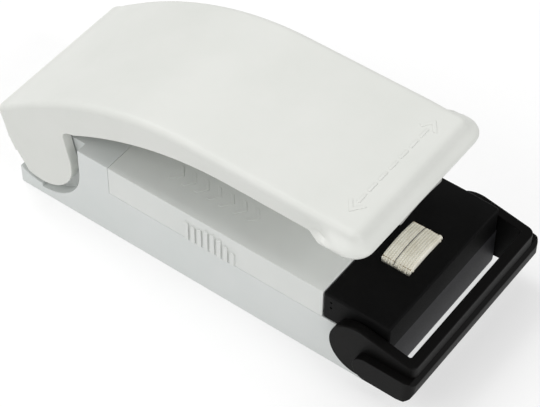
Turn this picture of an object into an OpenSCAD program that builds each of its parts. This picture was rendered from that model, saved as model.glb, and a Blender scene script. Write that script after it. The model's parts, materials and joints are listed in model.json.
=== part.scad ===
// Handheld bag heat sealer: two AA cells, a sprung press lever over a short heated strip,
// and a swinging guard around the sealing head. +X points to the sealing head, +Z is up.
// The origin is at the middle of the bottom of the whole object.

/* [Body] */
// Width of the body and of the lever arch
body_w = 38; // [37:0.5:40]
// Length of the body from the rear foot to the front wall
body_l = 92.1; // [91.6:0.1:92.6]
// Height of the cover and of the sealing head above the table
deck_z = 19.6; // [19.4:0.1:20.4]
// Height of the seam between the base and what sits on it
seam_z = 12.2; // [12:0.1:12.6]
// Wall thickness of the moulded shells
wall = 1.8; // [1.6:0.1:2]
// Radius of the lower front corner of the base
nose_r = 4.6; // [3.5:0.1:5]
// Raised grip ribs on each side of the battery cover
rib_count = 8; // [4:1:10]
// Spacing of the grip ribs
rib_pitch = 1.6; // [1.4:0.05:1.8]

/* [Lever] */
// Top of the lever arch above the table
arch_z = 39.4; // [38.8:0.1:40]
// Thickness of the arched plate
plate_t = 2.2; // [1.8:0.1:2.6]
// Radius of the rounded cheeks around the lever pivot
cheek_r = 8.9; // [8.5:0.1:9.2]
// Width of the flared tip of the lever
tip_w = 43; // [42:0.5:44]
// Angle that the lever turns through until its pad meets the strip
press_angle = 8.8; // [8.6:0.1:8.9]
// Radius of the lever's pivot stubs
stub_r = 2; // [1.8:0.1:2.2]

/* [Sealing head] */
// Length of the sealing head along the body
head_l = 15.1; // [14.8:0.1:15.4]
// Thickness of the head's apron over the front of the base
apron_t = 1.15; // [1:0.05:1.3]
// Size of the heated strip along the body
strip_l = 6.6; // [6:0.1:7]
// Size of the heated strip across the body
strip_w = 11.4; // [11:0.1:12]
// Height of the strip above the head
strip_rise = 1.1; // [1:0.05:1.3]

/* [Guard] */
// Radius of the ear discs that the guard turns on
ear_r = 6.6; // [6.2:0.1:6.8]
// Thickness of the guard's arms and of its front bar
guard_t = 2.1; // [1.9:0.1:2.2]
// How far the stepped rail stands out from the arms
rail_t = 1.6; // [1.2:0.1:1.8]
// Distance from the guard's pivot to its outermost front edge
guard_reach = 13.6; // [13.4:0.1:13.8]

/* [Cells] */
// Diameter of an AA cell
cell_d = 14.5; // [14.2:0.1:14.5]
// Length of an AA cell with its nub
cell_l = 50.5; // [50:0.1:50.5]

/* [Hidden] */
$fn = 96;
eps = 0.01;

// places along the body, measured from the rear foot
rear_over = 5.2;                              // the lever's back overhangs the foot
guard_x = 86.8;
base_front = body_l - apron_t - 0.05;
foot_x = -(guard_x + guard_reach - rear_over) / 2;
half_w = body_w / 2;
block_x0 = 16.6;                              // front wall of the lever recess
block_x1 = 24.4;                              // rear end of the battery cover
head_x = body_l - head_l;
guard_z = 10.9;
lever_x = 5.7;
lever_z = 12.8;
recess_r = block_x0 - lever_x;
cheek_t = 2.2;
core_w = body_w - 2 * cheek_t - 0.6;          // base between the two cheeks
run = 0.3;                                    // gap beside a moving part
fit = 0.06;                                   // radial play of a pivot
strip_x = 84.3;
screw_x = head_x + 3.4;
strip_z = deck_z + strip_rise;
bed_z = strip_z - 0.35;                       // top of the bed, below the cloth

// battery bay
floor_t = 1.8;
bay_x0 = 22.5;
bay_x1 = 76.7;
bay_w = body_w - 2 * wall;
cell_y = 7.9;
cell_z = floor_t + 0.25 + cell_d / 2;
cell_x = 25.2;                                // rear face of both cells
nub_r = 2.75;
nub_l = 1;

// lever arch: the top and the lower edge of its sides are parabolas
arch_x = 46;
skirt_x = 55;
skirt_z = arch_z - 4.4;
tip_x0 = 74.3;
tip_x1 = 86.3;
tip_z0 = 34.7;
tip_z1 = 38.3;
function arch_top(x) = arch_z - 0.0079 * pow(max(0, arch_x - x), 2);
function skirt_low(x) = skirt_z - 0.0072 * pow(max(0, skirt_x - x), 2);

// return spring in the rear block
spring_x = 17.6;
spring_r = 3.5;
spring_wire = 0.4;
spring_top = 21.2;
pocket_r = 4.2;
pocket_z = 9;

// ---- helpers ----

// puts a child that is drawn from the rear foot into the part's own frame
module from_foot() {
    translate([foot_x, 0, 0])
        children();
}

// a side outline (x along the body, y up) made into a slab across the body
module across(w, y = 0) {
    translate([0, y + w / 2, 0])
        rotate([90, 0, 0])
            linear_extrude(w)
                children();
}

// a round pin across the body between two y places
module cross_pin(x, z, r, y0, y1) {
    translate([x, y0, z])
        rotate([-90, 0, 0])
            cylinder(r = r, h = y1 - y0);
}

// a box given by its lowest and highest corners
module block(lo, hi) {
    translate(lo)
        cube(hi - lo);
}

// a pair: the child and its mirror image across the middle plane
module both_sides() {
    children();
    mirror([0, 1, 0])
        children();
}

// a plan outline with two rounded front corners
module rounded_front(x0, x1, w, r) {
    translate([x0, -w / 2])
        square([x1 - x0 - r, w]);
    translate([x0, -w / 2 + r])
        square([x1 - x0, w - 2 * r]);
    for (s = [-1, 1])
        translate([x1 - r, s * (w / 2 - r)])
            circle(r);
}

// a round wire wound as a helix around the z axis, from z = 0 up, narrowing from r0 to r1
module coil(r0, r1, turns, pitch, wire_r) {
    sides = 8;
    steps = 16;
    n = turns * steps;
    points = [for (i = [0:n], k = [0:sides - 1])
        let (a = 360 * i / steps,
             r = r0 + (r1 - r0) * i / n + wire_r * cos(360 * k / sides),
             z = pitch * i / steps + wire_r * sin(360 * k / sides))
        [r * cos(a), r * sin(a), z]];
    rings = [for (i = [0:n - 1], k = [0:sides - 1])
        [i * sides + (k + 1) % sides, (i + 1) * sides + (k + 1) % sides,
         (i + 1) * sides + k, i * sides + k]];
    start = [[for (k = [sides - 1:-1:0]) k]];
    end = [[for (k = [0:sides - 1]) n * sides + k]];
    polyhedron(points, concat(rings, start, end), convexity = 8);
}

// ---- base ----

module base_outline() {
    difference() {
        square([body_l, seam_z]);
        translate([body_l - nose_r, 0])
            square([nose_r + eps, nose_r]);
    }
    translate([body_l - nose_r, nose_r])
        circle(nose_r);
}

// the side pocket that a lever cheek turns in
module recess_outline() {
    translate([lever_x, lever_z]) {
        circle(recess_r - 1);
        intersection() {
            circle(recess_r);
            translate([0, -recess_r])
                square([recess_r, 2 * recess_r]);
        }
        translate([-recess_r, 0])
            square([2 * recess_r, 12]);
    }
}

module base_solid() {
    difference() {
        union() {
            across(body_w)
                base_outline();
            block([2, -half_w, 0], [block_x1, half_w, deck_z]);
            both_sides()
                cross_pin(guard_x, guard_z, 3.2, half_w - wall, half_w);
        }
        both_sides()
            across(6, half_w - cheek_t - run + 3)
                recess_outline();
        // the back of the core leans forward under the lever
        across(body_w + 2)
            polygon([[-1, 5], [2, 5], [5, deck_z + 1], [-1, deck_z + 1]]);
    }
}

module screw_boss(y) {
    translate([screw_x, y, 0])
        cylinder(r = 3, h = seam_z);
}

module base_shell() {
    color("white")
    from_foot()
    difference() {
        union() {
            difference() {
                base_solid();
                // the front is set back behind the head's apron
                block([base_front, -half_w - 1, -1], [body_l + 1, half_w + 1, deck_z + 1]);
                // battery bay, open at the top under the cover
                block([bay_x0, -bay_w / 2, floor_t], [bay_x1, bay_w / 2, deck_z - wall]);
                block([block_x1, -bay_w / 2, floor_t], [bay_x1, bay_w / 2, deck_z + 1]);
                // chamber under the sealing head
                block([bay_x1 + 1.4, -bay_w / 2, floor_t],
                      [base_front - 1.4, bay_w / 2, deck_z]);
                // chamber between the pivot bosses
                block([6.5, -core_w / 2 + 5.2, floor_t + 3],
                      [12.2, core_w / 2 - 5.2, deck_z - wall]);
            }
            for (y = [-10.5, 10.5])
                screw_boss(y);
            // low divider and end saddles that hold the cells
            block([bay_x0, -0.4, floor_t - eps], [bay_x1, 0.4, 5]);
            for (x = [30, 50, 68])
                difference() {
                    block([x, -bay_w / 2 + eps, floor_t - eps], [x + 1.2, bay_w / 2 - eps, 5]);
                    for (s = [-1, 1])
                        translate([x - 1, s * cell_y, cell_z])
                            rotate([0, 90, 0])
                                cylinder(r = cell_d / 2 + 0.15, h = 4);
                    for (s = [-1, 1])
                        block([x - 1, s * 16.7 - 0.5, 2.6], [x + 2, s * 16.7 + 0.6, 6.4]);
                }
        }
        // lever pivot bores and guard pivot bores
        both_sides() {
            cross_pin(lever_x, lever_z, stub_r + fit, half_w - 8, half_w);
            cross_pin(guard_x, guard_z, 1.5 + fit, half_w - wall - 1, half_w + 1);
        }
        // pocket of the return spring
        translate([spring_x, 0, pocket_z])
            cylinder(r = pocket_r, h = deck_z);
        // screw holes with their counterbores
        for (y = [-10.5, 10.5])
            translate([screw_x, y, -1]) {
                cylinder(r = 1.4, h = deck_z);
                cylinder(r = 2.6, h = 4);
            }
        // slots that the bus strips pass through
        for (s = [-1, 1])
            block([bay_x1 - 1, s * 16.5 - 0.7, 3], [bay_x1 + 2, s * 16.5 + 0.7, 6.4]);
    }
}

// ---- battery cover ----

module rib(i) {
    mid = (rib_count - 1) / 2;
    top = deck_z - 2.2 - 0.09 * pow(i - mid, 2);
    x = 50 + (i - mid) * rib_pitch;
    block([x - 0.4, half_w - 0.2, seam_z + 0.1], [x + 0.4, half_w + 0.4, top]);
}

module battery_cover() {
    x0 = block_x1 + 0.1;
    x1 = head_x - 0.1;
    color("whitesmoke")
    from_foot()
    union() {
        difference() {
            block([x0, -half_w, seam_z + 0.05], [x1, half_w, deck_z]);
            block([x0 - 1, -bay_w / 2, 0], [x1 + 1, bay_w / 2, deck_z - wall]);
        }
        both_sides() {
            for (i = [0:rib_count - 1])
                rib(i);
            // lips that locate the cover inside the base walls
            for (x = [34, 62])
                block([x, bay_w / 2 - 1.1, seam_z - 1.8], [x + 8, bay_w / 2 - 0.15, seam_z + 3]);
            for (x = [34, 62])
                block([x, bay_w / 2 - 1.1, seam_z + 0.5], [x + 8, bay_w / 2 + eps, seam_z + 3]);
        }
        // a row of raised arrow heads that point to the sealing end, toward one side
        for (i = [0:6])
            translate([35.6 + i * 3.1, -11.5, deck_z - 0.1])
                linear_extrude(0.25)
                    polygon([[0, -2], [0.8, -2], [2.4, 0], [0.8, 2], [0, 2], [1.6, 0]]);
    }
}

// ---- lever ----

// everything between the arch's top and the skirts' lower edge, seen from the side
module arch_outline() {
    step = 3;
    back = [for (x = [-4.1:step:arch_x]) [x, arch_top(x)]];
    low = [for (x = [skirt_x:-step:lever_x + cheek_r - 0.5]) [x, skirt_low(x)]];
    polygon(concat(
        [[-rear_over + 1.1, 16.3], [-rear_over + 0.2, 17.4], [-rear_over, 18.2]],
        back,
        [[arch_x, arch_z], [77, arch_z], [80.5, arch_z - 0.25], [82.5, arch_z - 0.8],
         [84.2, arch_z - 1.7], [tip_x1 - 0.8, arch_z - 2.6], [tip_x1 - 0.2, tip_z0 + 1.2],
         [tip_x1 - 1, tip_z0], [tip_x0, tip_z0], [tip_x0 - 2, skirt_z]],
        low,
        [[13.6, 18], [14.5, lever_z], [lever_x, lever_z], [-2.1, 11.6]]));
    cheek_outline();
}

// the flared lip around the tip
module tip_outline() {
    polygon([[tip_x0, tip_z0], [tip_x1 - 1, tip_z0], [tip_x1 - 0.2, tip_z0 + 0.5],
             [tip_x1, tip_z0 + 1.2], [tip_x1 - 0.3, tip_z0 + 2], [tip_x1 - 1.4, tip_z1 - 0.7],
             [tip_x1 - 2.8, tip_z1], [tip_x0 + 2, tip_z1], [tip_x0, tip_z0 + 1.4]]);
}

module cheek_outline() {
    difference() {
        translate([lever_x, lever_z])
            circle(cheek_r);
        polygon([[-8, 0], [2.6, 0], [2.6, 4.4], [-0.5, 8.9], [-2.1, 11.6], [-8, 11.6]]);
    }
}

// the open underside of the arch
module arch_hollow() {
    step = 3;
    roof = [for (x = [-1.2:step:arch_x]) [x, arch_top(x) - plate_t - 0.4]];
    polygon(concat(
        [[-0.2, 9], [-1.9, 16.5]],
        roof,
        [[arch_x, arch_z - plate_t], [tip_x1 - 2.4, arch_z - plate_t - 0.4],
         [tip_x1 - 2.4, 0], [-0.2, 0]]));
}

module lever() {
    color("white")
    from_foot() {
        difference() {
            union() {
                across(body_w)
                    arch_outline();
                across(tip_w)
                    tip_outline();
            }
            across(body_w - 2 * cheek_t)
                arch_hollow();
            // rounded corners of the tip, seen from above
            difference() {
                block([tip_x0, -half_w - 3, tip_z0 - 2], [tip_x1 + 2, half_w + 3, arch_z + 2]);
                translate([0, 0, tip_z0 - 3])
                    linear_extrude(12)
                        rounded_front(tip_x0 - 2, tip_x1, tip_w, 4.4);
            }
        }
        // pivot stubs inside the cheeks
        both_sides()
            cross_pin(lever_x, lever_z, stub_r, half_w - cheek_t - 3, half_w - cheek_t + 0.5);
        spring_seat();
        pad_holder();
        tip_arrow();
    }
}

// the boss that holds the top of the return spring, with the switch plunger below it
module spring_seat() {
    top = arch_top(spring_x) - plate_t;
    translate([spring_x, 0, 24])
        cylinder(r = 3.2, h = top - 24 + 0.4);
    translate([spring_x, 0, 14.6])
        cylinder(r = 1.2, h = 12);
}

// ribs under the tip that carry the press pad
module pad_holder() {
    at_pressed() {
        block([strip_x - 4.4, -7.6, strip_z + 1.4], [strip_x + 3.9, 7.6, strip_z + 2.6]);
        for (y = [-7.6, 6.4])
            block([strip_x - 4.4, y, strip_z + 1.5], [strip_x + 3.9, y + 1.2, strip_z + 4]);
    }
}

// a double-headed dashed arrow raised on the tip
module tip_arrow() {
    x = 78.8;
    for (i = [-3:3])
        block([x - 0.35, i * 3.4 - 1.2, arch_z - 0.6], [x + 0.35, i * 3.4 + 1.2, arch_z + 0.1]);
    for (s = [-1, 1])
        translate([x, s * 13.7, arch_z - 0.6])
            linear_extrude(0.7)
                polygon([[0, s * 0.6], [2, -s * 2.2], [1.2, -s * 2.4], [0, -s * 0.7],
                         [-1.2, -s * 2.4], [-2, -s * 2.2]]);
}

// draws a child where it lies when the lever is down, and turns it back up with the lever
module at_pressed() {
    translate([lever_x, 0, lever_z])
        rotate([0, -press_angle, 0])
            translate([-lever_x, 0, -lever_z])
                children();
}

module press_pad() {
    color("lightgray")
    from_foot()
    at_pressed()
    block([strip_x - 3.9, -7, strip_z + 0.2], [strip_x + 3.4, 7, strip_z + 1.4]);
}

// ---- sealing head ----

module sealing_head() {
    color([0.09, 0.09, 0.1])
    from_foot()
    union() {
        difference() {
            block([head_x, -half_w, seam_z], [body_l, half_w, deck_z]);
            block([head_x + wall, -bay_w / 2, 0], [body_l - wall, bay_w / 2, deck_z - 2.2]);
            // opening that the heated strip stands in
            block([strip_x - strip_l / 2 - 0.1, -strip_w / 2 - 0.5, 0],
                  [strip_x + strip_l / 2 + 0.1, strip_w / 2 + 0.5, deck_z + 1]);
            // notches over the guard's pivot lugs
            both_sides()
                cross_pin(guard_x, guard_z, 3.3, half_w - wall - 1, half_w + 1);
        }
        head_post(-10.5);
        head_post(10.5);
        head_apron();
    }
}

// the thin front wall that hangs from the head down the front of the base
module head_apron() {
    back = body_l - apron_t;
    cx = body_l - nose_r;
    a = acos((back - cx) / nose_r);
    across(body_w)
        polygon(concat([[back, seam_z + 0.5], [body_l, seam_z + 0.5]],
            [for (i = [0:8]) [cx + nose_r * cos(a * i / 8), nose_r - nose_r * sin(a * i / 8)]]));
}

// the post inside the head that a screw bites into
module head_post(y) {
    translate([screw_x, y, seam_z])
        difference() {
            cylinder(r = 3, h = deck_z - seam_z - 1.5);
            translate([0, 0, -1])
                cylinder(r = 1.12, h = 6);
        }
}

module head_screws() {
    color("silver")
    from_foot()
    for (y = [-10.5, 10.5])
        translate([screw_x, y, 1.2]) {
            difference() {
                cylinder(r = 2.4, h = 1.8);
                block([-1.8, -0.3, -1], [1.8, 0.3, 0.8]);
                block([-0.3, -1.8, -1], [0.3, 1.8, 0.8]);
            }
            cylinder(r = 1.1, h = 15.4);
        }
}

// ---- heated strip ----

module heater_bed() {
    x0 = strip_x - strip_l / 2 + 0.1;
    x1 = strip_x + strip_l / 2 - 0.1;
    w = strip_w - 0.8;
    color("burlywood")
    from_foot()
    difference() {
        union() {
            block([x0, -w / 2, 15], [x1, w / 2, bed_z]);
            block([x0 - 1.5, -w / 2, 15], [x1 + 1.5, w / 2, deck_z - 2.3]);
        }
        // groove for the wire over the top and down both ends
        block([strip_x - 0.5, -w, bed_z - 0.3], [strip_x + 0.5, w, bed_z + 1]);
        both_sides()
            block([strip_x - 0.5, w / 2 - 0.4, 10], [strip_x + 0.5, w, bed_z + 1]);
    }
}

module heater_wire() {
    w = strip_w - 0.8;
    color("dimgray")
    from_foot()
    union() {
        block([strip_x - 0.4, -w / 2 + 0.1, bed_z - 0.28], [strip_x + 0.4, w / 2 - 0.1, bed_z - 0.03]);
        both_sides()
            block([strip_x - 0.4, w / 2 - 0.35, 13.9], [strip_x + 0.4, w / 2 - 0.1, bed_z - 0.03]);
    }
}

// glass cloth stretched over the bed and tucked in at both ends
module heater_cloth() {
    x0 = strip_x - strip_l / 2;
    x1 = strip_x + strip_l / 2;
    color("tan")
    from_foot()
    difference() {
        block([x0, -strip_w / 2 + 0.05, deck_z - 2.2], [x1, strip_w / 2 - 0.05, strip_z]);
        block([x0 - 1, -strip_w / 2 + 0.4, 0], [x1 + 1, strip_w / 2 - 0.4, bed_z]);
    }
}

module terminal(s) {
    x0 = strip_x - 0.4;
    x1 = strip_x + 2;
    y_in = strip_w / 2 - 1.3;
    color("gold")
    from_foot()
    scale([1, s, 1])
    union() {
        block([x0, y_in, 13.3], [x1, bay_w / 2 - 1.3, 13.8]);
        block([x0, bay_w / 2 - 1.35, 9], [x1, bay_w / 2 - 0.95, 13.8]);
    }
}

module terminal_left() {
    terminal(-1);
}

module terminal_right() {
    terminal(1);
}

// ---- guard ----

// the guard's arm seen from the side, drawn around its pivot
module arm_outline() {
    front = guard_reach - 0.9;
    circle(ear_r);
    polygon([[0, ear_r], [front, 4], [front, -2.6], [front - 0.9, -4.8], [front - 3, -6.2],
             [0, -ear_r]]);
}

// the stepped rail around the arms, with a round rear end
module rail_outline() {
    translate([2.9, -1.8])
        circle(2.9);
    translate([2.9, -4.7])
        square([guard_reach - 5.4, 5.8]);
    translate([guard_reach - 3.5, -2.4])
        square([3.5, 3.5]);
    translate([guard_reach - 2.5, -2.2])
        circle(2.5);
}

module guard() {
    arm_w = body_w + 2 * (run + guard_t);
    rail_w = arm_w + 2 * rail_t;
    bar_x = guard_reach - 0.9 - guard_t;
    color([0.07, 0.07, 0.08])
    translate([foot_x + guard_x, 0, guard_z]) {
        difference() {
            union() {
                intersection() {
                    across(arm_w)
                        arm_outline();
                    translate([0, 0, -20])
                        linear_extrude(40)
                            rounded_front(-20, guard_reach - 0.9, arm_w, 2);
                }
                intersection() {
                    across(rail_w)
                        rail_outline();
                    translate([0, 0, -20])
                        linear_extrude(40)
                            rounded_front(-20, guard_reach, rail_w, 2.6);
                }
            }
            block([-20, -half_w - run, -20], [bar_x, half_w + run, 20]);
        }
        // pivot stubs that snap into the base
        both_sides()
            cross_pin(0, 0, 1.5, half_w - wall, half_w + run + 0.5);
    }
}

// ---- return spring and switch ----

// shown at the length it is squeezed to when the lever is down
module return_spring() {
    turns = 6;
    room = spring_top - pocket_z - 0.05;
    color("silver")
    from_foot()
    translate([spring_x, 0, pocket_z + spring_wire + 0.05])
        coil(spring_r, spring_r, turns, (room - 2 * spring_wire) / turns, spring_wire);
}

module switch_leaf() {
    color("goldenrod")
    from_foot()
    union() {
        block([spring_x - 1.6, -1.6, 11.7], [spring_x + 1.6, 1.6, 12.1]);
        block([spring_x - 1.2, -1.2, pocket_z + 0.02], [spring_x - 0.8, 1.2, 11.8]);
    }
}

module switch_post() {
    color("gold")
    from_foot()
    translate([spring_x + 0.7, 0, pocket_z + 0.02])
        cylinder(r = 0.6, h = 2.2);
}

// ---- cells and contacts ----

// an AA cell along x; dir is 1 with the nub to the front, -1 with the nub to the rear
module cell(y, dir) {
    translate([cell_x + cell_l / 2, y, cell_z])
        rotate([0, 90 * dir, 0])
            translate([0, 0, -cell_l / 2]) {
                cylinder(d = cell_d, h = cell_l - nub_l);
                cylinder(r = nub_r, h = cell_l);
            }
}

module cell_left() {
    color("steelblue")
    from_foot()
    cell(-cell_y, 1);
}

module cell_right() {
    color("steelblue")
    from_foot()
    cell(cell_y, -1);
}

module contact_plate(x, y, w) {
    block([x, y - w / 2, cell_z - 5], [x + 0.4, y + w / 2, cell_z + 5]);
}

// a tapered coil that pushes on the flat end of a cell
module contact_coil(x, y, dir, room) {
    translate([x, y, cell_z])
        rotate([0, 90 * dir, 0])
            coil(3.6, 1.8, 3, (room - 0.7) / 3, 0.3);
}

module rear_negative_contact() {
    room = cell_x - bay_x0 - 0.4;
    color("silver")
    from_foot() {
        contact_plate(bay_x0, -cell_y, 11);
        contact_coil(bay_x0 + 0.6, -cell_y, 1, room);
    }
}

module rear_positive_contact() {
    color("silver")
    from_foot() {
        contact_plate(bay_x0, cell_y, 11);
        translate([bay_x0 + 0.3, cell_y, cell_z])
            rotate([0, 90, 0])
                cylinder(r = 2.2, h = cell_x - bay_x0 - 0.4);
    }
}

module front_bridge_contact() {
    front = cell_x + cell_l;
    room = bay_x1 - front - 0.4;
    color("silver")
    from_foot() {
        block([bay_x1 - 0.4, -cell_y - 5.5, cell_z - 2], [bay_x1, cell_y + 5.5, cell_z + 3]);
        translate([front + 0.1, -cell_y, cell_z])
            rotate([0, 90, 0])
                cylinder(r = 2.2, h = room);
        translate([front + 0.1, cell_y, cell_z])
            rotate([0, 90, 0])
                cylinder(r = 3.2, h = room);
    }
}

// ---- bus strips ----

// a plated strip from a rear contact to the heater's terminal, along the inside of a side wall
module bus_strip(s) {
    y0 = bay_w / 2 - 0.9;
    y1 = bay_w / 2 - 0.5;
    color("silver")
    from_foot()
    scale([1, s, 1])
    union() {
        block([bay_x0, y0, 3.4], [strip_x + 1.5, y1, 6]);
        block([strip_x - 0.3, y0, 3.4], [strip_x + 1.5, y1, 13.6]);
        block([bay_x0, cell_y + 4.5, 3.4], [bay_x0 + 0.4, y1, 4.2]);
    }
}

module bus_strip_left() {
    bus_strip(-1);
}

module bus_strip_right() {
    bus_strip(1);
}

base_shell();
battery_cover();
lever();
press_pad();
sealing_head();
guard();
heater_bed();
heater_wire();
heater_cloth();
terminal_left();
terminal_right();
return_spring();
switch_leaf();
switch_post();
cell_left();
cell_right();
rear_negative_contact();
rear_positive_contact();
front_bridge_contact();
bus_strip_left();
bus_strip_right();
head_screws();
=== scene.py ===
import json
import math
import random

import bmesh
import bpy
from mathutils import Matrix, Vector


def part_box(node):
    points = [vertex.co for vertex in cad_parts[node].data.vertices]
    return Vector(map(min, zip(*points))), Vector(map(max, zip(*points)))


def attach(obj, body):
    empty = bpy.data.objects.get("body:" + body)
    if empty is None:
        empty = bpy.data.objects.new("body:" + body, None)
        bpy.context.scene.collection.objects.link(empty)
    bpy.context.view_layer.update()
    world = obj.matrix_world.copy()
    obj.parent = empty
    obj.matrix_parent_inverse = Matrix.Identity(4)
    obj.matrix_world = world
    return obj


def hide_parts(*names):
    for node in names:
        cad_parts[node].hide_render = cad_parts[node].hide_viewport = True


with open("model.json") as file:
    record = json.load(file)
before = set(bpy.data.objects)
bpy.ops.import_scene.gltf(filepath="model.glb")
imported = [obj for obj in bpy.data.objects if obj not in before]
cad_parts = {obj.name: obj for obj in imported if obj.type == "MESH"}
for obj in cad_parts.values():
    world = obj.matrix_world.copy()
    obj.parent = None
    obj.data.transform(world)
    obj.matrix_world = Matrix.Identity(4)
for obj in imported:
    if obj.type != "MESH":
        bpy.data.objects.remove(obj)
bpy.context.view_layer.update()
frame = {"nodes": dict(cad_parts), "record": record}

MM = 0.001
shell_lo, shell_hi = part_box("base_shell")
FOOT = shell_lo[0] / MM                      # x of the rear foot, in mm
HALF = shell_hi[1] / MM                      # half the body's width
DECK = shell_hi[2] / MM                      # height of the cover and the head
SEAM = 12.2                                  # height of the seam under the cover and the head
NOSE = 4.6                                   # radius of the lower front edge
BLOCK_X = 24.4                               # front of the rear block, back of the cover
BAY_HALF = 17.2                              # half width of the battery bay
WALL = 1.8
head_lo, head_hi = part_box("sealing_head")
HEAD_X = head_lo[0] / MM - FOOT
BODY_L = head_hi[0] / MM - FOOT              # front face of the head and its apron
APRON_X = shell_hi[0] / MM - FOOT + 0.05     # back of the apron
lever_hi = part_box("lever")[1]
ARCH = 39.4                                  # height of the lever's flat top
LEVER_WALL = 2.2
TOP_END = 72.8                               # where the flat side ends and the brim starts
TIP_X = lever_hi[0] / MM - FOOT
TIP_HALF = lever_hi[1] / MM - 0.2
SPRING_X = 17.6                              # the return spring's axis
guard_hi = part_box("guard")[1]
GUARD_HALF = guard_hi[1] / MM                # outer face of the guard's rail
joints = {j["name"]: j for j in frame["record"]["behaviour"]["joints"]}


def pin_of(joint):
    """A hinge's place in side view, in mm from the rear foot."""
    x, _, z = joints[joint]["pos_m"]
    return x / MM - FOOT, z / MM


LEVER_PIN = pin_of("lever_press")
GUARD_PIN = pin_of("guard_swing")


def at(x, y, z):
    """A place given in mm from the rear foot, in metres in the row frame."""
    return Vector(((x + FOOT) * MM, y * MM, z * MM))


# ---------------------------------------------------------------- mesh helpers

def make(name, verts, faces):
    me = bpy.data.meshes.new(name)
    me.from_pydata([at(*v) for v in verts], [], faces)
    me.validate()
    ob = bpy.data.objects.new(name, me)
    bpy.context.scene.collection.objects.link(ob)
    fix_normals(ob)
    return ob


def fix_normals(ob):
    bm = bmesh.new()
    bm.from_mesh(ob.data)
    bmesh.ops.recalc_face_normals(bm, faces=bm.faces)
    bm.to_mesh(ob.data)
    bm.free()


def apply_mods(ob):
    bpy.context.view_layer.update()
    deps = bpy.context.evaluated_depsgraph_get()
    me = bpy.data.meshes.new_from_object(ob.evaluated_get(deps))
    ob.modifiers.clear()
    ob.data = me


def tube_faces(n):
    """The faces of a solid between two outlines of n points: both ends, then the sides."""
    ends = [list(range(n)), list(range(2 * n - 1, n - 1, -1))]
    return ends + [[i, (i + 1) % n, n + (i + 1) % n, n + i] for i in range(n)]


def prism(name, outline, y0, y1):
    """A side outline (x, z) made into a slab between two y places."""
    verts = [(x, y0, z) for x, z in outline] + [(x, y1, z) for x, z in outline]
    return make(name, verts, tube_faces(len(outline)))


def slab(name, outline, z0, z1):
    """A plan outline (x, y) made into a slab between two heights."""
    verts = [(x, y, z0) for x, y in outline] + [(x, y, z1) for x, y in outline]
    return make(name, verts, tube_faces(len(outline)))


def box(name, lo, hi):
    return slab(name, [(lo[0], lo[1]), (hi[0], lo[1]), (hi[0], hi[1]), (lo[0], hi[1])], lo[2], hi[2])


def bevel(ob, width, segments=3, angle=35):
    """Rounds the edges sharper than an angle in degrees; the width is in mm."""
    m = ob.modifiers.new("bevel", "BEVEL")
    m.width = width * MM
    m.segments = segments
    m.limit_method = "ANGLE"
    m.angle_limit = math.radians(angle)
    m.use_clamp_overlap = True
    apply_mods(ob)


def combine(ob, other, how):
    """Cuts or intersects ob with another object, which is used up."""
    m = ob.modifiers.new("bool", "BOOLEAN")
    m.operation = how
    m.solver = "EXACT"
    m.object = other
    apply_mods(ob)
    bpy.data.objects.remove(other)
    bm = bmesh.new()
    bm.from_mesh(ob.data)
    bmesh.ops.remove_doubles(bm, verts=bm.verts, dist=1e-6)
    bmesh.ops.dissolve_limit(bm, angle_limit=math.radians(0.4), verts=bm.verts, edges=bm.edges)
    bm.to_mesh(ob.data)
    bm.free()


def arc(cx, cz, r, a0, a1, n):
    """Points of an arc between two angles in degrees, both ends included."""
    angles = [math.radians(a0 + (a1 - a0) * i / n) for i in range(n + 1)]
    return [(cx + r * math.cos(a), cz + r * math.sin(a)) for a in angles]


def circle(cx, cy, r, step):
    """Points of a circle, one every step degrees."""
    return [(cx + r * math.cos(math.radians(a)), cy + r * math.sin(math.radians(a)))
            for a in range(0, 360, step)]


def between(sign, a, b):
    """Two distances from the middle, on one side of it, as a lower and an upper y."""
    return sorted((sign * a, sign * b))


def rounded(points, radii, n=6):
    """Rounds the corners of a closed outline: one radius for each point, 0 for a sharp one."""
    out = []
    for i, p in enumerate(points):
        r = radii[i] if isinstance(radii, (list, tuple)) else radii
        a, b, c = Vector(points[i - 1]), Vector(p), Vector(points[(i + 1) % len(points)])
        u, v = (a - b).normalized(), (c - b).normalized()
        turn = u.angle(v)
        if r <= 0 or turn > math.radians(178):
            out.append(tuple(b))
            continue
        t = min(r / math.tan(turn / 2), 0.49 * (a - b).length, 0.49 * (c - b).length)
        p0, p1 = b + u * t, b + v * t
        for k in range(n + 1):
            s = k / n
            q = (1 - s) ** 2 * p0 + 2 * s * (1 - s) * b + s ** 2 * p1
            out.append(tuple(q))
    return out


def join(name, obs):
    """Several meshes as one object, each kept as its own shell."""
    bm = bmesh.new()
    for o in obs:
        bm.from_mesh(o.data)
        bpy.data.objects.remove(o)
    me = bpy.data.meshes.new(name)
    bm.to_mesh(me)
    bm.free()
    ob = bpy.data.objects.new(name, me)
    bpy.context.scene.collection.objects.link(ob)
    return ob


def smooth(ob, angle, weighted):
    for p in ob.data.polygons:
        p.use_smooth = True
    ob.data.set_sharp_from_angle(angle=math.radians(angle))
    if weighted:
        m = ob.modifiers.new("normals", "WEIGHTED_NORMAL")
        m.keep_sharp = True
        m.weight = 60


def piece(ob, material, body, replaces=(), angle=38, weighted=True):
    smooth(ob, angle, weighted)
    ob.data.materials.clear()
    ob.data.materials.append(material)
    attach(ob, body)
    if replaces:
        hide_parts(*replaces)


# ---------------------------------------------------------------- materials

def nodes_of(name):
    m = bpy.data.materials.new(name)
    m.use_nodes = True
    nt = m.node_tree
    bsdf = nt.nodes["Principled BSDF"]
    return m, nt, bsdf


def coords(nt, scale=(1, 1, 1)):
    tc = nt.nodes.new("ShaderNodeTexCoord")
    mp = nt.nodes.new("ShaderNodeMapping")
    mp.inputs["Scale"].default_value = scale
    nt.links.new(tc.outputs["Object"], mp.inputs["Vector"])
    return mp.outputs["Vector"]


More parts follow.
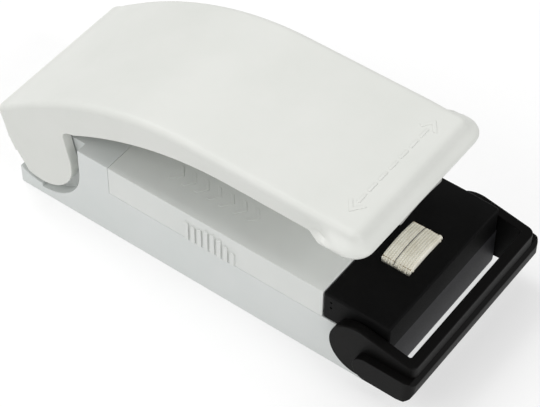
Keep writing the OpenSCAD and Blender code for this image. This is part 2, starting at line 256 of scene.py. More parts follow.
def noise(nt, vec, scale, detail=3.0, rough=0.55):
    n = nt.nodes.new("ShaderNodeTexNoise")
    n.inputs["Scale"].default_value = scale
    n.inputs["Detail"].default_value = detail
    n.inputs["Roughness"].default_value = rough
    nt.links.new(vec, n.inputs["Vector"])
    return n.outputs["Fac"]


def ramp(nt, fac, stops):
    r = nt.nodes.new("ShaderNodeValToRGB")
    els = r.color_ramp.elements
    while len(els) < len(stops):
        els.new(0.5)
    for e, (p, c) in zip(els, stops):
        e.position = p
        e.color = (*c, 1) if len(c) == 3 else c
    nt.links.new(fac, r.inputs["Fac"])
    return r.outputs["Color"]


def bump(nt, bsdf, height, strength, distance):
    b = nt.nodes.new("ShaderNodeBump")
    b.inputs["Strength"].default_value = strength
    b.inputs["Distance"].default_value = distance
    nt.links.new(height, b.inputs["Height"])
    nt.links.new(b.outputs["Normal"], bsdf.inputs["Normal"])


def feed(nt, sock, v):
    """Sets a socket to a value, or links another node's output to it."""
    if isinstance(v, (int, float, tuple)):
        sock.default_value = v
    else:
        nt.links.new(v, sock)


def maths(nt, op, *values):
    m = nt.nodes.new("ShaderNodeMath")
    m.operation = op
    for sock, v in zip(m.inputs, values):
        feed(nt, sock, v)
    return m.outputs[0]


def mixed(nt, fac, a, b, blend="MIX"):
    """Two colours mixed by a factor: of a mix node's sockets, 0, 6 and 7 in and 2 out are the colour ones."""
    m = nt.nodes.new("ShaderNodeMix")
    m.data_type = "RGBA"
    m.blend_type = blend
    for index, v in ((0, fac), (6, a), (7, b)):
        feed(nt, m.inputs[index], v)
    return m.outputs[2]


def object_place(nt):
    """The object's own coordinates, whole and split into x, y and z."""
    tc = nt.nodes.new("ShaderNodeTexCoord")
    sep = nt.nodes.new("ShaderNodeSeparateXYZ")
    nt.links.new(tc.outputs["Object"], sep.inputs[0])
    return tc.outputs["Object"], sep.outputs


def spread(nt, fac, low, high, sock):
    """Drives a socket with a 0 to 1 value stretched between two numbers."""
    r = nt.nodes.new("ShaderNodeMapRange")
    r.inputs["To Min"].default_value = low
    r.inputs["To Max"].default_value = high
    nt.links.new(fac, r.inputs["Value"])
    nt.links.new(r.outputs["Result"], sock)


def plastic(name, dark, light, rough0, rough1, grain, strength, spec=0.5):
    """Moulded plastic: faint mottling in colour, a fine moulded grain in roughness and bump."""
    m, nt, b = nodes_of(name)
    v = coords(nt)
    mott = noise(nt, v, 55, 4, 0.6)
    nt.links.new(ramp(nt, mott, [(0.3, dark), (0.7, light)]), b.inputs["Base Color"])
    fine = noise(nt, v, grain, 3, 0.6)
    spread(nt, fine, rough0, rough1, b.inputs["Roughness"])
    b.inputs["Specular IOR Level"].default_value = spec
    bump(nt, b, fine, strength, 0.00005)
    return m


def metal(name, dark, light, rough):
    """Drawn or rolled metal: its grain is stretched along the part."""
    m, nt, b = nodes_of(name)
    v = coords(nt, (4, 0.3, 0.3))
    n = noise(nt, v, 1000, 3)
    nt.links.new(ramp(nt, n, [(0.25, dark), (0.75, light)]), b.inputs["Base Color"])
    b.inputs["Metallic"].default_value = 1.0
    spread(nt, n, rough - 0.08, rough + 0.1, b.inputs["Roughness"])
    bump(nt, b, n, 0.2, 0.00003)
    return m


white_lever = plastic("white_lever_plastic", (0.675, 0.688, 0.652), (0.71, 0.718, 0.686),
                      0.42, 0.55, 2600, 0.25)
white_body = plastic("white_body_plastic", (0.635, 0.665, 0.65), (0.67, 0.69, 0.68),
                     0.42, 0.55, 2600, 0.25)
black_head = plastic("black_head_plastic", (0.0022, 0.0022, 0.0023), (0.0042, 0.0042, 0.0042),
                     0.48, 0.66, 3800, 0.6, 0.08)
black_guard = plastic("black_guard_plastic", (0.002, 0.0019, 0.0018), (0.0036, 0.0034, 0.0033),
                      0.36, 0.52, 3000, 0.35, 0.075)
# painted shade: the apron's dark blue-grey stands in for the deep shade on the base's white front wall behind the
# guard
painted_shade_apron_mat = plastic("painted_shade_apron_plastic", (0.028, 0.028, 0.032), (0.04, 0.04, 0.046),
                      0.5, 0.6, 3000, 0.3, 0.25)
white_cover = plastic("white_cover_plastic", (0.67, 0.69, 0.668), (0.705, 0.72, 0.698),
                      0.42, 0.55, 2600, 0.25)
rubber_pad = plastic("pad_rubber", (0.30, 0.30, 0.29), (0.38, 0.38, 0.36), 0.7, 0.85, 1800, 0.5, 0.3)
bed_beige = plastic("bed_phenolic", (0.36, 0.28, 0.18), (0.52, 0.43, 0.30), 0.5, 0.7, 1400, 0.5, 0.4)
steel = metal("plated_steel", (0.52, 0.52, 0.50), (0.66, 0.66, 0.64), 0.28)
wire_steel = metal("drawn_wire", (0.13, 0.125, 0.12), (0.22, 0.21, 0.2), 0.4)
brass = metal("brass_strip", (0.62, 0.44, 0.18), (0.78, 0.58, 0.27), 0.3)

# ---------------------------------------------------------------- lever


def arch_top(x):
    """Height of the lever's top above a place along it."""
    return ARCH - 0.0079 * max(0.0, 46 - x) ** 2


def lever_top_path():
    """The outside of the rear wall and the top, from the wall's lower edge to where the tip's corner starts."""
    rear = [(-1.75, 8.3), (-3.3, 11.6), (-4.15, 15.0), (-4.8, 17.3)]
    turn = []
    p0, p1, p2 = Vector(rear[-1]), Vector((-5.45, 19.55)), Vector((-2.6, arch_top(-2.6)))
    for i in range(1, 9):
        s = i / 9
        turn.append(tuple((1 - s) ** 2 * p0 + 2 * s * (1 - s) * p1 + s * s * p2))
    xs = [-2.6 + i * 1.6 for i in range(int((72.4 + 2.6) / 1.6) + 1)]
    top = [(x, arch_top(x)) for x in xs if x < 72.3]
    return rear + turn + top + [(TOP_END, ARCH)]


def path_normals(path):
    normals = []
    for i in range(len(path)):
        a, b = Vector(path[max(0, i - 1)]), Vector(path[min(len(path) - 1, i + 1)])
        t = (b - a).normalized()
        normals.append(Vector((-t.y, t.x)))
    return normals


def lever_low_path():
    """The lower edge of cheek and skirt in side view, from the rear wall's lower edge to the tip."""
    px, pz = LEVER_PIN
    cheek = [(0.5, 7.45), (1.6, 6.0)] + arc(px, pz, 8.8, -113, 4, 26)
    cheek += [(14.45, 14.6), (14.15, 16.2), (13.75, 18.0), (13.35, 20.0), (13.05, 21.6), (13.15, 22.2),
              (13.6, 22.75), (14.3, 23.25)]
    skirt = [16, 18, 20, 22.5, 25, 28, 31, 34, 37, 40, 43, 46, 49, 52, 55, 60, 66]
    return cheek + [(x, 35 - 0.0074 * max(0, 55 - x) ** 2 - (0.1 if x > 55 else 0.1 * x / 55)) for x in skirt]


def lever_shell():
    crease = 1.5                   # radius between the top and the sides
    side = HALF
    tip_way = 8                    # length over which the inside changes from the skirt to the tip
    rim = 3.6                      # width of the tip's lower rim
    at_tip = 99                    # a place past the flare, for the stations around the tip
    side_steps, corner_steps = 16, 12
    path = lever_top_path()
    normals = path_normals(path)
    # profiles from the flat top outwards and down: (distance in from the tip's outline, drop)
    main = [(TIP_HALF - side + crease + 1.2, 0.0), (TIP_HALF - side + crease + 0.6, 0.0)]
    for a in range(0, 91, 15):
        main.append((TIP_HALF - side + crease * (1 - math.sin(math.radians(a))),
                     crease * (1 - math.cos(math.radians(a)))))
    n_round = len(main)
    low = ARCH - 34.9
    main += [(TIP_HALF - side, crease + (low - crease) * s) for s in (0.16, 0.34, 0.52, 0.72, 0.9, 1.0)]
    brim = [(4.1, 0.0), (3.7, 0.03), (3.3, 0.14), (2.95, 0.36), (2.7, 0.66), (2.5, 1.0), (2.3, 1.32),
            (2.0, 1.64), (1.57, 1.92), (1.1, 2.16), (0.6, 2.43), (0.18, 2.8), (0.0, 3.2), (0.2, 3.8), (0.8, 4.15)]
    rings = len(main)
    # where each ring starts to flare and how long it takes, from the lowest ring up
    flare = ((TOP_END, 3.6), (72.9, 4.4), (73.4, 5.4), (74.2, 6.8))

    def mix(x):
        """The profile at x: the brim's lower edge flares out quickly, the rest of it over a longer way."""
        out = []
        for k, (a, b) in enumerate(zip(main, brim)):
            x0, way = flare[min(3, rings - 1 - k)]
            t = min(1.0, max(0.0, (x - x0) / way))
            t = t * t * (3 - 2 * t)
            out.append((a[0] + (b[0] - a[0]) * t, a[1] + (b[1] - a[1]) * t))
        return out

    # stations of the tip on the +y half: outline place, inward direction, blend to the brim
    radius = 4.4
    cx, cy = TIP_X - radius, TIP_HALF - radius
    tip = []
    for i in range(1, side_steps + 1):
        x = TOP_END + i * (cx - TOP_END) / side_steps
        tip.append(((x, TIP_HALF), (0, -1), x))
    for i in range(1, corner_steps + 1):
        a = math.radians(90 - 90 * i / corner_steps)
        tip.append(((cx + radius * math.cos(a), cy + radius * math.sin(a)),
                    (-math.cos(a), -math.sin(a)), at_tip))
    for y in (10.0, 5.0, 0.0):
        tip.append(((TIP_X, y), (-1, 0), at_tip))

    cols = []
    for (x, z), nrm in zip(path, normals):
        col = []
        for d, drop in main[:n_round]:
            q = Vector((x, z)) - nrm * drop
            col.append((q.x, TIP_HALF - d, q.y))
        cols.append(col)
    full = []
    for (ox, oy), (ix, iy), s in tip:
        full.append([(ox + ix * d, oy + iy * d, ARCH - drop) for d, drop in mix(s)])
    # the last side station also needs its lower points, on the flat side
    edge_col = cols[-1] + [(TOP_END, side, ARCH - drop) for d, drop in main[n_round:]]

    low_path = lever_low_path()
    verts, faces = [], []

    def add(p):
        verts.append(p)
        return len(verts) - 1

    sides = {}
    for sgn in (1, -1):
        def flip(p):
            return (p[0], p[1] * sgn, p[2])
        s = {}
        s["cols"] = [[add(flip(p)) for p in c] for c in cols[:-1]] + [[add(flip(p)) for p in edge_col]]
        # the middle station belongs to both halves, and is made once
        own = slice(None) if sgn == 1 else slice(-1)
        s["full"] = [[add(flip(p)) for p in c] for c in full[own]]
        s["low"] = [add(flip((x, side, z))) for x, z in low_path]
        yi = side - LEVER_WALL
        s["roof"] = [add(flip((x - nrm.x * LEVER_WALL, yi, z - nrm.y * LEVER_WALL)))
                     for (x, z), nrm in zip(path, normals)]
        s["low_in"] = [add(flip((x, yi, z))) for x, z in low_path]
        s["edge_in"] = add(flip((TOP_END, yi, ARCH - main[-1][1])))
        d_in = TIP_HALF - yi
        s["tip_in"] = []
        s["tip_roof"] = []
        for (ox, oy), (ix, iy), sb in tip[own]:
            part = min(1.0, (sb - TOP_END) / tip_way)
            d = d_in + (rim - d_in) * part
            s["tip_in"].append(add(flip((ox + ix * d, oy + iy * d, ARCH - mix(sb)[-1][1]))))
            s["tip_roof"].append(add(flip((ox + ix * d, oy + iy * d, ARCH - LEVER_WALL - 0.6 * part))))
        sides[sgn] = s
    r, l = sides[1], sides[-1]
    l["full"].append(r["full"][-1])
    l["tip_in"].append(r["tip_in"][-1])
    l["tip_roof"].append(r["tip_roof"][-1])
    for s in (r, l):
        c = s["cols"]
        for i in range(len(c) - 1):
            for k in range(n_round - 1):
                faces.append([c[i][k], c[i + 1][k], c[i + 1][k + 1], c[i][k + 1]])
        f = [c[-1]] + s["full"]
        for i in range(len(f) - 1):
            for k in range(rings - 1):
                faces.append([f[i][k], f[i + 1][k], f[i + 1][k + 1], f[i][k + 1]])
        # flat side face, inner side face and the rim between them
        faces.append([col[n_round - 1] for col in c] + c[-1][n_round:] + s["low"][::-1])
        faces.append(s["roof"] + [s["edge_in"]] + s["low_in"][::-1])
        out_rim = [c[0][n_round - 1]] + s["low"] + [c[-1][-1]]
        in_rim = [s["roof"][0]] + s["low_in"] + [s["edge_in"]]
        for i in range(len(out_rim) - 1):
            faces.append([out_rim[i], out_rim[i + 1], in_rim[i + 1], in_rim[i]])
        # underside of the brim and inner wall of the tip
        outer = [c[-1][-1]] + [col[-1] for col in s["full"]]
        inner = [s["edge_in"]] + s["tip_in"]
        roof = [s["roof"][-1]] + s["tip_roof"]
        for i in range(len(outer) - 1):
            faces.append([outer[i], outer[i + 1], inner[i + 1], inner[i]])
            faces.append([inner[i], inner[i + 1], roof[i + 1], roof[i]])
    # caps: outside top, inside roof and the rear wall's lower edge
    top_r = [c[0] for c in r["cols"]] + [c[0] for c in r["full"]]
    top_l = [c[0] for c in l["cols"]] + [c[0] for c in l["full"]]
    roof_r = r["roof"] + r["tip_roof"]
    roof_l = l["roof"] + l["tip_roof"]
    n_line = len(path) + side_steps + corner_steps
    for a, b in ((top_r, top_l), (roof_r, roof_l)):
        for i in range(n_line - 1):
            faces.append([a[i], a[i + 1], b[i + 1], b[i]])
        faces.append(a[n_line - 1:] + b[n_line - 1:-1][::-1])
    rear = r["cols"][0][:n_round] + [r["roof"][0], l["roof"][0]] + l["cols"][0][:n_round][::-1]
    faces.append(rear)
    ob = make("lever_shell", verts, faces)
    bevel(ob, 0.28, 2, 55)
    return ob


def lever_extras():
    """The hinge stubs inside the cheeks, and the spring's seat and guide pin under the top."""
    stubs = [prism("stub", circle(*LEVER_PIN, 2, 12), *between(s, HALF - 2.0, HALF - 5.0)) for s in (-1, 1)]
    seats = [slab("seat", circle(SPRING_X, 0, r, 12), z0, z1)
             for r, z0, z1 in ((3.2, 24.0, arch_top(SPRING_X) - 1.6), (1.2, 14.6, 26))]
    return stubs + seats


piece(join("lever_shell", [lever_shell()] + lever_extras()), white_lever, "press_lever",
      ["lever"], 42)


ARROW_X = 78.8
MARK_UP = 0.14                                # height of the arrow's raised lines


def lever_arrow():
    """A dashed arrow across the tip with a head at each end, raised from the top."""
    marks = []
    w, h = 0.32, 1.35                         # half the width and half the length of a dash
    for y in [i * 3.4 for i in range(-3, 4)]:
        corners = [(ARROW_X - w, y - h), (ARROW_X + w, y - h), (ARROW_X + w, y + h), (ARROW_X - w, y + h)]
        dash = slab("dash", rounded(corners, 0.3, 3), ARCH - 0.2, ARCH + MARK_UP)
        bevel(dash, 0.12, 3, 50)
        marks.append(dash)
    for s in (-1, 1):
        head = [(0, 14.3), (2.0, 11.6), (1.3, 11.3), (0, 13.0), (-1.3, 11.3), (-2.0, 11.6)]
        o = slab("arrow", [(ARROW_X + x, s * y) for x, y in head], ARCH - 0.2, ARCH + MARK_UP)
        bevel(o, 0.1, 2, 50)
        marks.append(o)
    return join("lever_arrow", marks)


piece(lever_arrow(), white_lever, "press_lever")

# ---------------------------------------------------------------- base


def base_shell():
    px, pz = LEVER_PIN
    outline = [(0.0, 0.35), (0.35, 0.0)] + arc(BODY_L - NOSE, NOSE, NOSE, -90, 0, 12)
    outline += [(BODY_L, SEAM), (BLOCK_X, SEAM), (BLOCK_X, DECK), (4.9, DECK), (2.1, 5.0), (0.0, 5.0)]
    ob = prism("base_body", outline, -HALF, HALF)
    # side pockets for the lever's cheeks
    r = 10.9
    pocket = arc(px, pz, r, -90, 0, 16) + [(px + r, DECK + 3), (px - 14, DECK + 3), (px - 14, pz)]
    pocket += arc(px, pz, r - 1, -146, -90, 10)
    for s in (-1, 1):
        combine(ob, prism("pocket", pocket, *between(s, HALF - 2.5, HALF + 3)), "DIFFERENCE")
    bevel(ob, 0.26, 3, 40)
    # the apron's room, the battery bay, the spring's well and the counterbores of the head's screws
    combine(ob, box("front", (APRON_X - 0.05, -HALF - 1, -1), (BODY_L + 1, HALF + 1, DECK)), "DIFFERENCE")
    combine(ob, box("bay", (22.5, -BAY_HALF, 1.8), (76.7, BAY_HALF, DECK - WALL)), "DIFFERENCE")
    combine(ob, slab("hole", circle(SPRING_X, 0, 4.2, 10), 9, DECK + 2), "DIFFERENCE")
    for y in (-10.5, 10.5):
        combine(ob, slab("bore", circle(HEAD_X + 3.4, y, 2.6, 12), -1, 3), "DIFFERENCE")
    return ob


def guard_lugs():
    return [prism("lug", arc(*GUARD_PIN, 3.2, 0, 348, 29), *between(s, HALF - 1.8, HALF - 0.02))
            for s in (-1, 1)]


piece(join("base_body", [base_shell()] + guard_lugs()), white_body, "base", ["base_shell"], 35)

# ---------------------------------------------------------------- battery cover


RIB_TOPS = [17.3, 17.05, 17.25, 17.9, 17.85, 17.6, 16.7, 15.9]


def battery_cover():
    x0, x1 = BLOCK_X + 0.05, HEAD_X - 0.05
    ob = box("cover", (x0, -HALF, SEAM + 0.03), (x1, HALF, DECK))
    bevel(ob, 0.14, 3)
    combine(ob, box("inside", (x0 - 1, -BAY_HALF, 0), (x1 + 1, BAY_HALF, DECK - WALL)), "DIFFERENCE")
    parts = [ob]
    w, foot = 0.48, SEAM + 0.2                # half a grip rib's width, and its lower end
    for s in (-1, 1):
        for i, top in enumerate(RIB_TOPS):
            x = 50 + (i - 3.5) * 1.6
            corners = [(x - w, foot), (x + w, foot), (x + w, top), (x - w, top)]
            rib = prism("rib", rounded(corners, [0.1, 0.1, 0.45, 0.45], 4), *between(s, HALF - 0.3, HALF + 0.4))
            bevel(rib, 0.3, 3, 50)
            parts.append(rib)
        for x in (34, 62):
            y0, y1 = between(s, 16.1, 17.05)
            parts.append(box("lip", (x, y0, SEAM - 1.8), (x + 8, y1, SEAM + 3)))
    return join("battery_cover_shell", parts)


def cover_chevrons():
    """A row of plain chevrons raised from the cover, on the near side of its middle."""
    outline = [(0, -13.5), (0.8, -13.5), (2.4, -11.5), (0.8, -9.5), (0, -9.5), (1.6, -11.5)]
    chevrons = []
    for i in range(7):
        first = 35.6 + i * 3.1
        o = slab("chevron", [(first + x, y) for x, y in outline], DECK - 0.2, DECK + 0.15)
        bevel(o, 0.07, 2, 50)
        chevrons.append(o)
    return join("cover_chevrons", chevrons)


piece(battery_cover(), white_cover, "cover", ["battery_cover"], 35)
piece(cover_chevrons(), white_cover, "cover")

# ---------------------------------------------------------------- sealing head

strip_lo, strip_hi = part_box("heater_cloth")
SX0, SX1 = strip_lo[0] / MM - FOOT, strip_hi[0] / MM - FOOT
STRIP_X = (SX0 + SX1) / 2
SY = strip_hi[1] / MM
SZ = strip_hi[2] / MM


def sealing_head():
    outline = [(HEAD_X, SEAM + 0.05), (BODY_L, SEAM + 0.05), (BODY_L, DECK - 0.25), (BODY_L - 6, DECK - 0.05),
               (BODY_L - 9, DECK), (HEAD_X + 0.1, DECK)]
    ob = prism("head", outline, -HALF, HALF)
    bevel(ob, 0.55, 4, 40)
    combine(ob, box("slot", (SX0 - 0.1, -SY - 0.5, 0), (SX1 + 0.1, SY + 0.5, DECK + 1)), "DIFFERENCE")
    combine(ob, box("under", (HEAD_X + WALL, -BAY_HALF, 0), (BODY_L - WALL, BAY_HALF, DECK - 2.2)), "DIFFERENCE")
    for s in (-1, 1):
        notch = prism("notch", arc(*GUARD_PIN, 3.3, 0, 348, 29), *between(s, HALF - 2.8, HALF + 1))
        combine(ob, notch, "DIFFERENCE")
        for z in (17.8, 16.2):
            dimple = prism("dimple", arc(HEAD_X + 1.9, z, 0.28, 0, 330, 11), *between(s, HALF - 0.35, HALF + 1))
            combine(ob, dimple, "DIFFERENCE")
    return ob


def head_apron():
    """The head's front wall, which hangs down the front of the base: smoother than the rest of the head. Its dark
    colour is painted shade, standing in for the deep shade on the base's white front wall behind the guard.
    """
    low = math.degrees(math.acos((APRON_X - BODY_L + NOSE) / NOSE))
    face = BODY_L - 0.02
    outline = [(APRON_X, SEAM + 0.5), (face, SEAM + 0.5)] + arc(face - NOSE, NOSE, NOSE, 0, -low, 12)
    return prism("head_apron", outline, 0.05 - HALF, HALF - 0.05)


piece(sealing_head(), black_head, "base", ["sealing_head"], 35)
# the apron is drawn dark as painted shade over the base's white front wall
piece(head_apron(), painted_shade_apron_mat, "base", angle=35)

# ---------------------------------------------------------------- guard


def guard_body():
    gx, gz = GUARD_PIN
    arm = GUARD_HALF - 1.6                             # outer face of the arms
    arm_in = arm - 1.2                                 # the rail's inner face along the arms
    inner = HALF + 0.3                                 # inner face of the arms
    front = guard_hi[0] / MM - FOOT - 0.3              # the rail's front face
    rim_x = front - 0.7                                # the bar's front face
    rail_in = rim_x - 1.2
    bar_x = rim_x - 2.1                                # the bar's back face
    back, far = gx - 20, gx - 30                       # well behind the guard
    # arms and bar
    side = arc(gx, gz, 6.6, 84, 276, 40)
    side += [(gx + 5, gz - 6.5), (rim_x - 2.9, gz - 6.2), (rim_x - 1.2, gz - 5.3), (rim_x - 0.2, gz - 3.8),
             (rim_x, gz - 2.6), (rim_x, gz + 4.3)]
    rim = prism("rim", side, -arm, arm)
    plan = [(back, -arm), (rim_x, -arm), (rim_x, arm), (back, arm)]
    combine(rim, slab("plan", rounded(plan, [0, 1.8, 1.8, 0], 8), -5, 40), "INTERSECT")
    win = [(far, -inner), (bar_x, -inner), (bar_x, inner), (far, inner)]
    combine(rim, slab("win", rounded(win, [0, 0.5, 0.5, 0], 4), -6, 41), "DIFFERENCE")
    bevel(rim, 0.5, 4, 40)
    # stepped rail
    rx, rz, rr = gx + 2.9, gz - 1.5, 2.95
    rail_side = arc(rx, rz, rr, 90, 270, 20)
    rail_side += [(front - 3.2, rz - rr), (front - 1.6, rz - rr + 0.35), (front - 0.55, rz - 1.6),
                  (front, rz - 0.3), (front, gz + 0.4), (front - 0.75, gz + 1.45)]
    rail = prism("rail", rail_side, -GUARD_HALF, GUARD_HALF)
    plan = [(back, -GUARD_HALF), (front, -GUARD_HALF), (front, GUARD_HALF), (back, GUARD_HALF)]
    combine(rail, slab("plan", rounded(plan, [0, 2.2, 2.2, 0], 8), -5, 40), "INTERSECT")
    win = [(far, -arm_in), (rail_in, -arm_in), (rail_in, arm_in), (far, arm_in)]
    combine(rail, slab("win", rounded(win, [0, 1.5, 1.5, 0], 4), -6, 41), "DIFFERENCE")
    bevel(rail, 0.4, 4, 30)
    pins = [prism("pin", arc(gx, gz, 1.5, 0, 345, 23), *between(s, HALF - 1.8, HALF + 0.8)) for s in (-1, 1)]
    return join("guard_frame", [rim, rail] + pins)


piece(guard_body(), black_guard, "guard", ["guard"], 35)

# ---------------------------------------------------------------- heated strip


CLOTH_ROW, CLOTH_STITCH = 0.55, 0.5           # pitch of the weave across and along the strip
WIRE_OFF = 0.45                               # the wire's place, behind the middle of the strip


def glass_cloth():
    """Woven glass cloth over the bed: domed on top, rolled over both ends, with its threads as real relief."""
    roll = 0.9                                # radius at the two ends
    half_x = (SX1 - SX0) / 2
    drop = SZ - (DECK - 2.1)
    flat_y = SY - roll
    length = 2 * (flat_y + roll * math.pi / 2 + drop - roll)
    turn = 0.4                                # radius along the two long edges
    over = turn * math.pi / 2 + 1.0
    wide = half_x - turn + over
    nu, nv = 124, 250
    verts, faces = [], []
    for j in range(nv + 1):
        s = -length / 2 + length * j / nv
        a = abs(s)
        sg = 1 if s >= 0 else -1
        if a < flat_y:
            y, z, ny, nz = a, 0.0, 0.0, 1.0
        elif a < flat_y + roll * math.pi / 2:
            t = (a - flat_y) / roll
            y, z = flat_y + roll * math.sin(t), -roll * (1 - math.cos(t))
            ny, nz = math.sin(t), math.cos(t)
        else:
            y, z, ny, nz = SY, -roll - (a - flat_y - roll * math.pi / 2), 1.0, 0.0
        for i in range(nu + 1):
            u = -wide + 2 * wide * i / nu
            nth = math.floor(u / CLOTH_ROW + 0.5)
            across_row = math.cos(2 * math.pi * u / CLOTH_ROW)
            along_row = math.cos(2 * math.pi * s / CLOTH_STITCH + math.pi * (nth % 2))
            weave = 0.035 * across_row + 0.045 * along_row
            # turned down over both long edges
            e = abs(u) - (half_x - turn)
            if e <= 0:
                x, fall = abs(u), 0.0
            elif e < turn * math.pi / 2:
                x, fall = half_x - turn + turn * math.sin(e / turn), turn * (1 - math.cos(e / turn))
            else:
                x, fall = half_x, turn + e - turn * math.pi / 2
            dome = 0.5 - 0.65 * min(1.0, a / SY) ** 2
            sag = -0.12 * (x / half_x) ** 2
            seam = -0.12 * math.exp(-((u + WIRE_OFF) / 0.15) ** 2)
            h = weave * (1 if fall < 0.3 else 0.4) + (dome + sag) * max(0.0, nz) + seam - 0.08
            # a small lip at the far front corner
            h += 0.28 * math.exp(-((u - half_x + 0.2) / 0.45) ** 2 - ((s - SY + 0.4) / 0.4) ** 2)
            h -= fall * (1 if nz > 0.99 else max(0.25, nz))
            verts.append((STRIP_X + math.copysign(x + 0.04, u), sg * (y + ny * h), SZ + z + nz * h))
    for j in range(nv):
        for i in range(nu):
            a = j * (nu + 1) + i
            faces.append([a, a + 1, a + nu + 2, a + nu + 1])
    ob = make("glass_cloth", verts, faces)
    if ob.data.polygons[len(faces) // 2].normal.z < 0:
        ob.data.flip_normals()
    m = ob.modifiers.new("thickness", "SOLIDIFY")
    m.thickness = 0.16 * MM
    m.offset = -1
    apply_mods(ob)
    return ob


def cloth_material():
    m, nt, b = nodes_of("glass_cloth_weave")
    place, xyz = object_place(nt)
    cx = (STRIP_X + FOOT) * MM
    u = maths(nt, "SUBTRACT", xyz["X"], cx)
    rows = maths(nt, "COSINE", maths(nt, "MULTIPLY", u, 2 * math.pi / (CLOTH_ROW * MM)))
    nth = maths(nt, "FLOOR", maths(nt, "ADD", maths(nt, "MULTIPLY", u, 1 / (CLOTH_ROW * MM)), 0.5))
    turn = maths(nt, "MULTIPLY", nth, math.pi)
    along = maths(nt, "MULTIPLY", xyz["Y"], 2 * math.pi / (CLOTH_STITCH * MM))
    stitches = maths(nt, "COSINE", maths(nt, "ADD", along, turn))
    fac = maths(nt, "MULTIPLY_ADD", rows, 0.18, maths(nt, "MULTIPLY_ADD", stitches, 0.2, 0.55))
    weave = ramp(nt, fac, [(0.06, (0.6, 0.56, 0.42)), (0.3, (0.96, 0.92, 0.77)), (0.65, (1.0, 0.98, 0.88))])
    tint = ramp(nt, noise(nt, place, 420, 3), [(0.3, (0.86, 0.84, 0.80)), (0.7, (1, 1, 1))])
    mix = mixed(nt, 1.0, weave, tint, "MULTIPLY")
    # the wire shows through as a thin dark line along the strip
    off = maths(nt, "SUBTRACT", xyz["X"], cx - WIRE_OFF * MM)
    wobble = noise(nt, place, 900, 2)
    off = maths(nt, "ADD", off, maths(nt, "MULTIPLY", maths(nt, "SUBTRACT", wobble, 0.5), 0.00012))
    near = maths(nt, "LESS_THAN", maths(nt, "ABSOLUTE", off), 0.00011)
    line = mixed(nt, maths(nt, "MULTIPLY", near, 0.8), mix, (0.06, 0.055, 0.06, 1))
    nt.links.new(line, b.inputs["Base Color"])
    b.inputs["Roughness"].default_value = 0.7
    b.inputs["Specular IOR Level"].default_value = 0.35
    bump(nt, b, noise(nt, place, 6000, 2), 0.4, 0.00003)
    return m


def cloth_fray():
    """Short loose threads at both ends of the cloth, more of them at the near end."""
    rng = random.Random(7)
    threads = []
    for i in range(16):
        x = SX0 + 0.5 + (SX1 - SX0 - 1.0) * i / 15 + rng.uniform(-0.12, 0.12)
        side_y = -1 if i % 4 else 1
        crv = bpy.data.curves.new("thread", "CURVE")
        crv.dimensions = "3D"
        crv.bevel_depth = 0.07 * MM
        crv.bevel_resolution = 1
        sp = crv.splines.new("BEZIER")
        sp.bezier_points.add(1)
        a = at(x, side_y * (SY - 0.25), SZ - 0.8 - rng.uniform(0, 0.15))
        b = at(x + rng.uniform(-0.3, 0.3), side_y * (SY + 0.1 + rng.uniform(0, 0.25)),
               SZ - 1.0 - rng.uniform(0.0, 0.25))
        for bp, p in zip(sp.bezier_points, (a, b)):
            bp.co = p
            bp.handle_left_type = bp.handle_right_type = "AUTO"
        o = bpy.data.objects.new("thread", crv)
        bpy.context.scene.collection.objects.link(o)
        bpy.context.view_layer.update()
        me = bpy.data.meshes.new_from_object(o.evaluated_get(bpy.context.evaluated_depsgraph_get()))
        bpy.data.objects.remove(o)
        t = bpy.data.objects.new("thread", me)
        bpy.context.scene.collection.objects.link(t)
        threads.append(t)
    return join("cloth_fray", threads)


def press_pad():
    """The soft pad under the lever's tip: its face is a little hollow across, to close over the domed cloth."""
    tilt = math.radians(-joints["lever_press"]["range_deg"][0])
    px, pz = LEVER_PIN
    ys = [-7 + 14 * i / 40 for i in range(41)]
    face = [(y, SZ + 0.2 + 0.38 * max(0.0, 1 - (y / 6) ** 2)) for y in ys] + [(7, SZ + 1.4), (-7, SZ + 1.4)]
    verts = []
    for x in (STRIP_X - 3.9, STRIP_X + 3.4):
        for y, z in face:
            dx, dz = x - px, z - pz
            verts.append((px + dx * math.cos(tilt) - dz * math.sin(tilt), y,
                          pz + dx * math.sin(tilt) + dz * math.cos(tilt)))
    ob = make("press_pad_soft", verts, tube_faces(len(face)))
    bevel(ob, 0.25, 3, 50)
    return ob


cloth = glass_cloth()
cloth_mat = cloth_material()
piece(cloth, cloth_mat, "base", ["heater_cloth"], 60, False)
piece(press_pad(), rubber_pad, "press_lever", ["press_pad"], 35)
piece(cloth_fray(), cloth_mat, "base")

# ---------------------------------------------------------------- materials of the CAD nodes that stay


def cell_material(name, tint):
    """A cell's plain jacket: a wrapped film with bare metal at both ends."""
    m, nt, b = nodes_of(name)
    place, xyz = object_place(nt)
    lo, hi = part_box("cell_left")
    rel = maths(nt, "ABSOLUTE", maths(nt, "SUBTRACT", xyz["X"], (lo[0] + hi[0]) / 2))
    bare = maths(nt, "GREATER_THAN", rel, (hi[0] - lo[0]) / 2 - 1.6 * MM)
    n = noise(nt, place, 160, 3)
    film = ramp(nt, n, [(0.3, tuple(c * 0.85 for c in tint)), (0.7, tint)])
    nt.links.new(mixed(nt, bare, film, (0.6, 0.6, 0.58, 1)), b.inputs["Base Color"])
    nt.links.new(bare, b.inputs["Metallic"])
    b.inputs["Roughness"].default_value = 0.3
    bump(nt, b, n, 0.1, 0.00005)
    return m


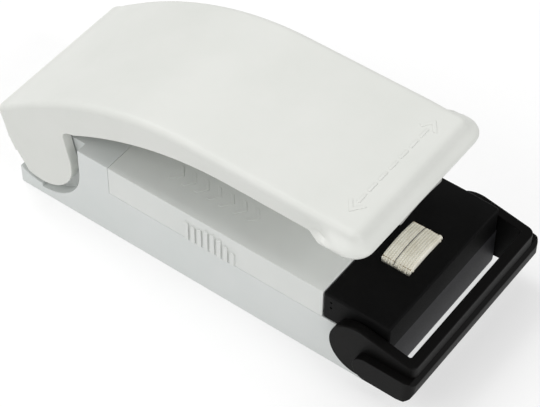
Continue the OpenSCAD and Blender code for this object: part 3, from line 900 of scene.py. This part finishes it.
cell_mat = cell_material("cell_jacket_film", (0.05, 0.11, 0.22))
plain = {
    "press_pad": rubber_pad, "heater_bed": bed_beige, "heater_wire": wire_steel,
    "terminal_left": brass, "terminal_right": brass, "return_spring": steel, "switch_leaf": brass,
    "switch_post": brass, "cell_left": cell_mat, "cell_right": cell_mat,
    "rear_negative_contact": steel, "rear_positive_contact": steel, "front_bridge_contact": steel,
    "bus_strip_left": steel, "bus_strip_right": steel, "head_screws": steel,
    "lever": white_lever, "base_shell": white_body, "battery_cover": white_cover,
    "sealing_head": black_head, "guard": black_guard, "heater_cloth": cloth_mat,
}
for name, mat in plain.items():
    ob = frame["nodes"][name]
    ob.data.materials.clear()
    ob.data.materials.append(mat)

# ---------------------------------------------------------------- stage, light and camera

floor = bpy.data.objects.new("floor", bpy.data.meshes.new("floor"))
floor.data.from_pydata([(-3, -3, 0), (3, -3, 0), (3, 3, 0), (-3, 3, 0)], [], [(0, 1, 2, 3)])
bpy.context.scene.collection.objects.link(floor)
fm, nt, b = nodes_of("pale_floor")
b.inputs["Base Color"].default_value = (0.48, 0.48, 0.48, 1)
b.inputs["Roughness"].default_value = 0.9
b.inputs["Emission Color"].default_value = (1, 1, 1, 1)
b.inputs["Emission Strength"].default_value = 0.5
floor.data.materials.append(fm)

world = bpy.data.worlds.new("studio")
bpy.context.scene.world = world
world.use_nodes = True
sky = world.node_tree.nodes["Background"]
sky.inputs["Color"].default_value = (1, 1, 1, 1)
sky.inputs["Strength"].default_value = 0.42


def area(name, place, aim, size, power):
    """A soft rectangular light at a place in metres, turned to what it aims at; the power is in watts."""
    light = bpy.data.lights.new(name, "AREA")
    light.shape = "RECTANGLE"
    light.size, light.size_y = size
    light.energy = power
    o = bpy.data.objects.new(name, light)
    bpy.context.scene.collection.objects.link(o)
    o.location = place
    o.rotation_euler = (Vector(aim) - Vector(place)).to_track_quat("-Z", "Y").to_euler()


area("key", (-0.46, 0.1, 0.66), (0, 0, 0.02), (0.5, 0.5), 3.1)
area("fill", (-0.28, -0.6, 0.58), (0, 0, 0.02), (0.5, 0.4), 1.95)
area("right", (0.66, -0.05, 0.42), (0.03, 0, 0.01), (0.3, 0.4), 2.1)

cam_data = bpy.data.cameras.new("camera")
cam = bpy.data.objects.new("camera", cam_data)
bpy.context.scene.collection.objects.link(cam)
bpy.context.scene.camera = cam
cam_data.sensor_width = 36
cam_data.lens = 133.33
cam_data.clip_start = 0.01
right = Vector((0.80285375, 0.59615778, 0.00466384))
down = Vector((0.44831033, -0.59855185, -0.66389271))
ahead = Vector((-0.39299326, 0.5350996, -0.74781329))
rot = Matrix((right, -down, -ahead)).transposed().to_4x4()
cam.matrix_world = Matrix.Translation(Vector((0.16128942, -0.21562616, 0.31097917))) @ rot
bpy.context.scene.view_settings.view_transform = "Standard"
